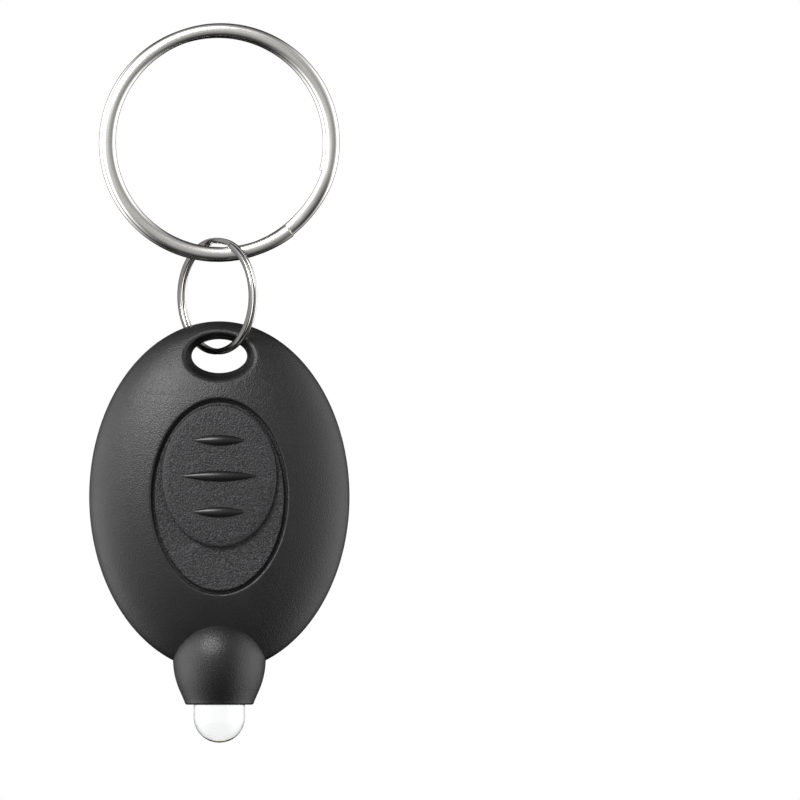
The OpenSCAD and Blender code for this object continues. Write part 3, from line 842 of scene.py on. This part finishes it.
def grip_ridge(made, y_mid, length):
    """A ridge with pointed ends on the thumb pad. Returns its outline for the fill."""
    rows = []
    for i in range(RIDGE_STEPS + 1):
        t = 2 * i / RIDGE_STEPS - 1
        taper = 1 - t * t
        half = RIDGE_WIDTH / 2 * taper
        v = np.linspace(0, math.pi, RIDGE_ACROSS + 1) if 0 < i < RIDGE_STEPS else np.array([0.0])
        x = np.full(len(v), t * length / 2)
        y = y_mid + half * np.cos(v)
        z = pad_height(x, y) + RIDGE_HEIGHT * taper * np.sin(v)
        rows.append(made.row(np.column_stack([x, y, z])))
    for a, b in zip(rows, rows[1:]):
        if len(a) == 1:
            made.faces += [(a[0], b[j + 1], b[j]) for j in range(RIDGE_ACROSS)]
        elif len(b) == 1:
            made.faces += [(b[0], a[j], a[j + 1]) for j in range(RIDGE_ACROSS)]
        else:
            made.band(b, a, closed=False)
    upper = [row[0] for row in rows]
    lower = [row[-1] for row in rows[-2:0:-1]]
    return upper + lower


def on_ridge(x, y):
    """Whether x and y lie under one of the grip ridges."""
    for i, length in RIDGES:
        taper = 1 - (2 * x / length) ** 2
        if taper > 0 and abs(y - PAD_Y - i * RIDGE_PITCH) < RIDGE_WIDTH / 2 * taper - RIDGE_MARGIN:
            return True
    return False


def make_pad():
    """The thumb slider: a crowned oval pad with three ridges, and its stem."""
    made = Surface()

    def oval(offset, level):
        """A row along the pad's edge, moved outwards."""
        return made.row(lift(ellipse(PAD_A, PAD_B, (0, PAD_Y), offset, PAD_POINTS), level))

    outer = [oval(-bevel, PAD_BOTTOM + PAD_EDGE - drop) for bevel, drop in reversed(quarter(PAD_BEVEL))]
    outer.append(oval(0, PAD_BOTTOM + PAD_UNDERCUT))
    outer.append(oval(-PAD_UNDERCUT, PAD_BOTTOM))
    made.bands(outer[::-1])

    smooth = Surface()
    loops = []
    for i, length in RIDGES:
        outline = grip_ridge(smooth, PAD_Y + i * RIDGE_PITCH, length)
        loops.append(made.row([smooth.points[n] for n in outline]))

    full = PAD_RINGS + 1
    grid = np.vstack([ellipse(PAD_A * i / full, PAD_B * i / full, (0, PAD_Y), 0, PAD_RING_STEP * i)
                      for i in range(1, full)])
    edges = np.vstack([made.flat(loop) for loop in loops])
    bare = np.array([not on_ridge(x, y) for x, y in grid])
    inner = made.row(lift(grid[bare & (distance(grid, edges) > PAD_CLEAR)], pad_height))
    made.fill([outer[0]] + loops, inner, [on_ridge])

    stem_outline = rounded_box(STEM_W, STEM_L, STEM_CORNER, (0, PAD_Y))
    stem = [made.row(lift(stem_outline, level)) for level in (PAD_BOTTOM, STEM_BOTTOM)]
    made.bands(stem)
    made.faces.append(tuple(stem[-1][::-1]))
    made.fill([outer[-1], stem[0]], holes=[inside_box(STEM_W, STEM_L, (0, PAD_Y))], up=False)
    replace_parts(piece("thumb_pad", made, GRAIN, "slider"), "thumb_slider")
    piece("grip_ridges", smooth, RIDGE, "slider")


# ---------- lens and screws ----------

def make_lens():
    """The LED's body: a collar with bevelled edges, a cylinder and a ball end."""
    base = lens_high[2] - CASE_MID
    under = base - COLLAR_T
    tip = lens_low[2] - CASE_MID
    profile = [
        (0, base),
        (COLLAR_R - COLLAR_EDGE, base),
        (COLLAR_R, base - COLLAR_EDGE),
        (COLLAR_R, under + COLLAR_EDGE),
        (COLLAR_R - COLLAR_EDGE, under),
        (LED_R + LED_FILLET, under),
        (LED_R, under - LED_FILLET),
    ]
    for i in range(BALL_STEPS):
        t = math.pi / 2 * i / BALL_STEPS
        profile.append((LED_R * math.cos(t), tip + LED_R * (1 - math.sin(t))))
    profile.append((0, tip))
    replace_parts(piece("lens_body", lathe(profile), LENS, "case"), "led_lens")


def cross_outline():
    """The twelve corners of a screw's cross recess, round the screw's middle."""
    arm = [(CROSS_REACH, -CROSS_HALF), (CROSS_REACH, CROSS_HALF), (CROSS_HALF, CROSS_HALF)]
    corners = []
    for _ in range(4):
        corners += arm
        arm = [(-y, x) for x, y in arm]
    return np.array(corners)


def screw_mesh(made, mid):
    """A pan-head screw with a cross recess, its head towards the back."""
    top = SCREW_SEAT + SCREW_HEAD_T

    def ring(radius, level):
        """A round row about the screw's middle."""
        return made.row(lift(ellipse(radius, radius, mid, 0, SCREW_POINTS), level))

    def in_cross(x, y):
        """Whether x and y lie over the recess."""
        near, far = sorted((abs(x - mid[0]), abs(y - mid[1])))
        return near < CROSS_HALF and far < CROSS_REACH

    head = [ring(SCREW_HEAD_R, SCREW_SEAT)]
    head += [ring(SCREW_HEAD_R - inward, top - drop) for inward, drop in SCREW_CROWN]
    made.bands(head)
    shank = [ring(radius, SCREW_SEAT - depth) for radius, depth in SCREW_SHANK]
    made.bands([shank[0], head[0]])
    made.bands(shank[::-1])
    made.faces.append(tuple(shank[-1][::-1]))
    mouth = made.row(lift(cross_outline() + mid, top))
    floor = made.row(lift(cross_outline() * CROSS_TAPER + mid, top - CROSS_DEPTH))
    made.bands([mouth, floor])
    made.faces.append(tuple(floor))
    made.fill([head[-1], mouth], holes=[in_cross])


def make_screws():
    """The four case screws as one piece."""
    made = Surface()
    for mid in screw_places():
        screw_mesh(made, mid)
    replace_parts(piece("screw_set", made, SCREW, "case", side=-1), "case_screws")


# ---------- rings ----------

def wire_section(radial, axial):
    """(outwards, along the ring's axis) points round a slightly squared wire, and their angles."""
    angles = np.arange(WIRE_SIDES) * TAU / WIRE_SIDES

    def soften(wave):
        """Makes a wave between -1 and 1 a little squarer."""
        return np.sign(wave) * np.abs(wave) ** WIRE_SOFTEN

    return np.column_stack([soften(np.cos(angles)) * radial / 2,
                            soften(np.sin(angles)) * axial / 2]), angles


def split_ring(outer, radial, axial, end, shift, seam, rows):
    """One wire that makes a front coil, crosses over and makes a back coil, as in the CAD.

    end is the angle at which the front coil starts, shift moves the back coil off the front one, and
    seam is the angle round the wire at which the lines of painted shade run.
    """
    made = Surface()
    turn = 720 - JOG
    coil = 360 - JOG
    mid = outer - radial / 2
    pitch = axial + COIL_GAP
    section, angles = wire_section(radial, axial)
    across = np.cos(angles - math.radians(seam))

    def wire_row(s, size):
        """The section at s degrees along the wire."""
        t = min(max((s - coil) / JOG, 0), 1)
        back = t * t * (3 - 2 * t) - 0.5
        a = math.radians(end - s)
        off = shift * back
        r = mid + section[:, 0] * size
        points = np.column_stack([r * math.cos(a) + off * math.cos(KEY_LEAN),
                                  pitch * back + section[:, 1] * size,
                                  r * math.sin(a) + off * math.sin(KEY_LEAN)])
        numbers = made.row(points)
        for n, v in zip(numbers, across):
            made.uv[n] = (math.radians(s) * mid, v)
        return numbers

    cut = math.degrees(WIRE_END / mid)
    stations = [cut + (turn - 2 * cut) * i / rows for i in range(rows + 1)]
    first = wire_row(0, WIRE_END_SIZE)
    lines = [first] + [wire_row(s, 1) for s in stations] + [wire_row(turn, WIRE_END_SIZE)]
    made.bands(lines)
    made.faces.append(tuple(first[::-1]))
    made.faces.append(tuple(lines[-1]))
    return made


def make_key_ring():
    """The large split ring, in the plane of the case's face round the origin."""
    outer = (key_high[2] - key_low[2] + KEY_SHIFT * math.sin(KEY_LEAN)) / 2 - SNUG
    ring = split_ring(outer, KEY_RADIAL, KEY_AXIAL, KEY_END, KEY_SHIFT, KEY_PAINTED_SHADE_TURN, KEY_ROWS)
    points = np.array(ring.points) * MM
    made = place("key_split_ring", points, ring.faces, NICKEL, "key_ring",
                 RING_CREASE, ring.uv)
    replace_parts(made, "key_ring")


def make_link_ring():
    """The small split ring, turned about the upright through the key ring and the slot."""
    ring = split_ring(LINK_R, LINK_RADIAL, LINK_AXIAL, LINK_END, 0, LINK_PAINTED_SHADE_TURN, LINK_ROWS)
    turn = math.radians(-LINK_TURN)
    spin = np.array([
        [math.cos(turn), -math.sin(turn), 0],
        [math.sin(turn), math.cos(turn), 0],
        [0, 0, 1],
    ])
    points = (np.array(ring.points) @ spin.T + (LINK_X, 0, LINK_Z)) * MM
    made = place("link_split_ring", points, ring.faces, LINK_WIRE_PAINTED_SHADE, "link",
                 RING_CREASE, ring.uv)
    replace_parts(made, "link_ring")


# ---------- pieces that keep their CAD mesh ----------

def dress_cad_nodes():
    """Gives the pieces inside the case their materials."""
    looks = {
        "slider_clip": CLIP, "led_anode": LEAD, "led_cathode": LEAD, "led_chip": CHIP,
        "led_phosphor": PHOSPHOR, "bond_wire": GOLD, "rear_cell_can": CELL, "front_cell_can": CELL,
        "rear_cell_cap": CELL, "front_cell_cap": CELL, "rear_cell_gasket": GASKET,
        "front_cell_gasket": GASKET, "insulator_ring": FILM,
    }
    for name, look in looks.items():
        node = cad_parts[name]
        node.data.materials.clear()
        node.data.materials.append(look)


# ---------- stage ----------

FLOOR_DROP = 30                 # how far the floor lies below the lens
FLOOR_HALF = 400
WORLD_FRONT = 0.85              # strength of the light from in front, and so on round
WORLD_BACK = 0.15
WORLD_LOW = 0.05
WORLD_RIGHT = 0.32
WORLD_SIDES = 2.0
VIEW_WIDTH = 78.0               # width of the camera's frame
VIEW_X = 17.613375              # middle of the frame, to the right of the key ring's middle
VIEW_Z = -25.101375             # and below it
VIEW_FROM = 300                 # how far in front of the case the camera stands


def make_floor():
    """A plain pale floor a little below the lens."""
    level = lens_low[2] - FLOOR_DROP
    corners = [(x * FLOOR_HALF, y * FLOOR_HALF, level) for x, y in ((-1, -1), (1, -1), (1, 1), (-1, 1))]
    mesh = bpy.data.meshes.new("floor")
    mesh.from_pydata([tuple(c * MM for c in corner) for corner in corners], [], [(0, 1, 2, 3)])
    look = Look("floor_paint")
    tint = look.noise(30.0)
    paint = look.blend(look.spread(tint, 0.0, 1.0), (0.82, 0.82, 0.82), (0.85, 0.85, 0.85))
    look.link(paint, "Base Color")
    look.set(Roughness=0.8)
    mesh.materials.append(look.material)
    floor = bpy.data.objects.new("floor", mesh)
    bpy.context.collection.objects.link(floor)
    floor.visible_glossy = False
    floor.visible_transmission = False


def make_world():
    """A white room for the camera and the lens, and a softer one for light and reflections."""
    world = bpy.data.worlds.new("studio")
    world.use_nodes = True
    bpy.context.scene.world = world
    nodes = world.node_tree.nodes
    links = world.node_tree.links

    def grade(value, start, end, low, high):
        """A smooth change from low to high as the value goes from start to end."""
        node = nodes.new("ShaderNodeMapRange")
        node.interpolation_type = "SMOOTHSTEP"
        for name, number in (("From Min", start), ("From Max", end), ("To Min", low), ("To Max", high)):
            node.inputs[name].default_value = number
        links.new(value, node.inputs["Value"])
        return node.outputs["Result"]

    def join(kind, a, b):
        """One sum of two values."""
        node = nodes.new("ShaderNodeMath")
        node.operation = kind
        links.new(a, node.inputs[0])
        links.new(b, node.inputs[1])
        return node.outputs["Value"]

    plain = nodes["Background"]
    plain.inputs["Color"].default_value = (1, 1, 1, 1)
    plain.inputs["Strength"].default_value = 1.0
    soft = nodes.new("ShaderNodeBackground")
    soft.inputs["Color"].default_value = (1, 1, 1, 1)
    where = nodes.new("ShaderNodeTexCoord")
    split = nodes.new("ShaderNodeSeparateXYZ")
    links.new(where.outputs["Generated"], split.inputs["Vector"])
    facing = grade(split.outputs["Y"], 0.1, -0.6, WORLD_BACK, WORLD_FRONT)
    shade = grade(split.outputs["X"], -0.4, 0.35, 1.0, WORLD_RIGHT)
    height = grade(split.outputs["Z"], -0.85, 0.15, WORLD_LOW, 1.0)
    left = grade(split.outputs["X"], -0.45, -1.0, 0.0, WORLD_SIDES)
    right = grade(split.outputs["X"], 0.4, 1.0, 0.0, WORLD_SIDES)
    fade = grade(split.outputs["Y"], 0.55, 0.85, 1.0, 0.0)
    sides = join("MULTIPLY", join("ADD", left, right), fade)
    front = join("MULTIPLY", join("MULTIPLY", facing, height), shade)
    links.new(join("ADD", front, sides), soft.inputs["Strength"])
    path = nodes.new("ShaderNodeLightPath")
    seen = join("MAXIMUM", path.outputs["Is Camera Ray"], path.outputs["Is Transmission Ray"])
    choose = nodes.new("ShaderNodeMixShader")
    links.new(seen, choose.inputs["Fac"])
    links.new(soft.outputs["Background"], choose.inputs[1])
    links.new(plain.outputs["Background"], choose.inputs[2])
    links.new(choose.outputs["Shader"], nodes["World Output"].inputs["Surface"])


def soft_box(name, place_mm, aim_mm, size_mm, watts):
    """A rectangular soft light aimed at a point."""
    data = bpy.data.lights.new(name, "AREA")
    data.shape = "RECTANGLE"
    data.size = size_mm[0] * MM
    data.size_y = size_mm[1] * MM
    data.energy = watts
    light = bpy.data.objects.new(name, data)
    light.location = Vector(place_mm) * MM
    light.rotation_euler = (Vector(aim_mm) - Vector(place_mm)).to_track_quat("-Z", "Y").to_euler()
    bpy.context.collection.objects.link(light)


def make_lights():
    """A large soft light from the upper left and a tall strip on each side."""
    aim = (0, 0, CASE_MID)
    soft_box("key_light", (-110, -225, 125), aim, (150, 130), 0.85)
    soft_box("left_strip", (-230, -20, -40), aim, (120, 260), 0.12)
    soft_box("right_strip", (230, -30, -60), aim, (80, 260), 0.06)


def make_camera():
    """Straight at the front, without perspective."""
    data = bpy.data.cameras.new("camera")
    data.type = "ORTHO"
    data.ortho_scale = VIEW_WIDTH * MM
    data.clip_start = 0.01
    data.clip_end = 5
    camera = bpy.data.objects.new("camera", data)
    camera.location = (VIEW_X * MM, -VIEW_FROM * MM, VIEW_Z * MM)
    camera.rotation_euler = (math.pi / 2, 0, 0)
    bpy.context.collection.objects.link(camera)
    bpy.context.scene.camera = camera
    bpy.context.scene.view_settings.view_transform = "Standard"


make_case()
make_plate()
make_pad()
make_lens()
make_screws()
make_key_ring()
make_link_ring()
dress_cad_nodes()
make_floor()
make_world()
make_lights()
make_camera()
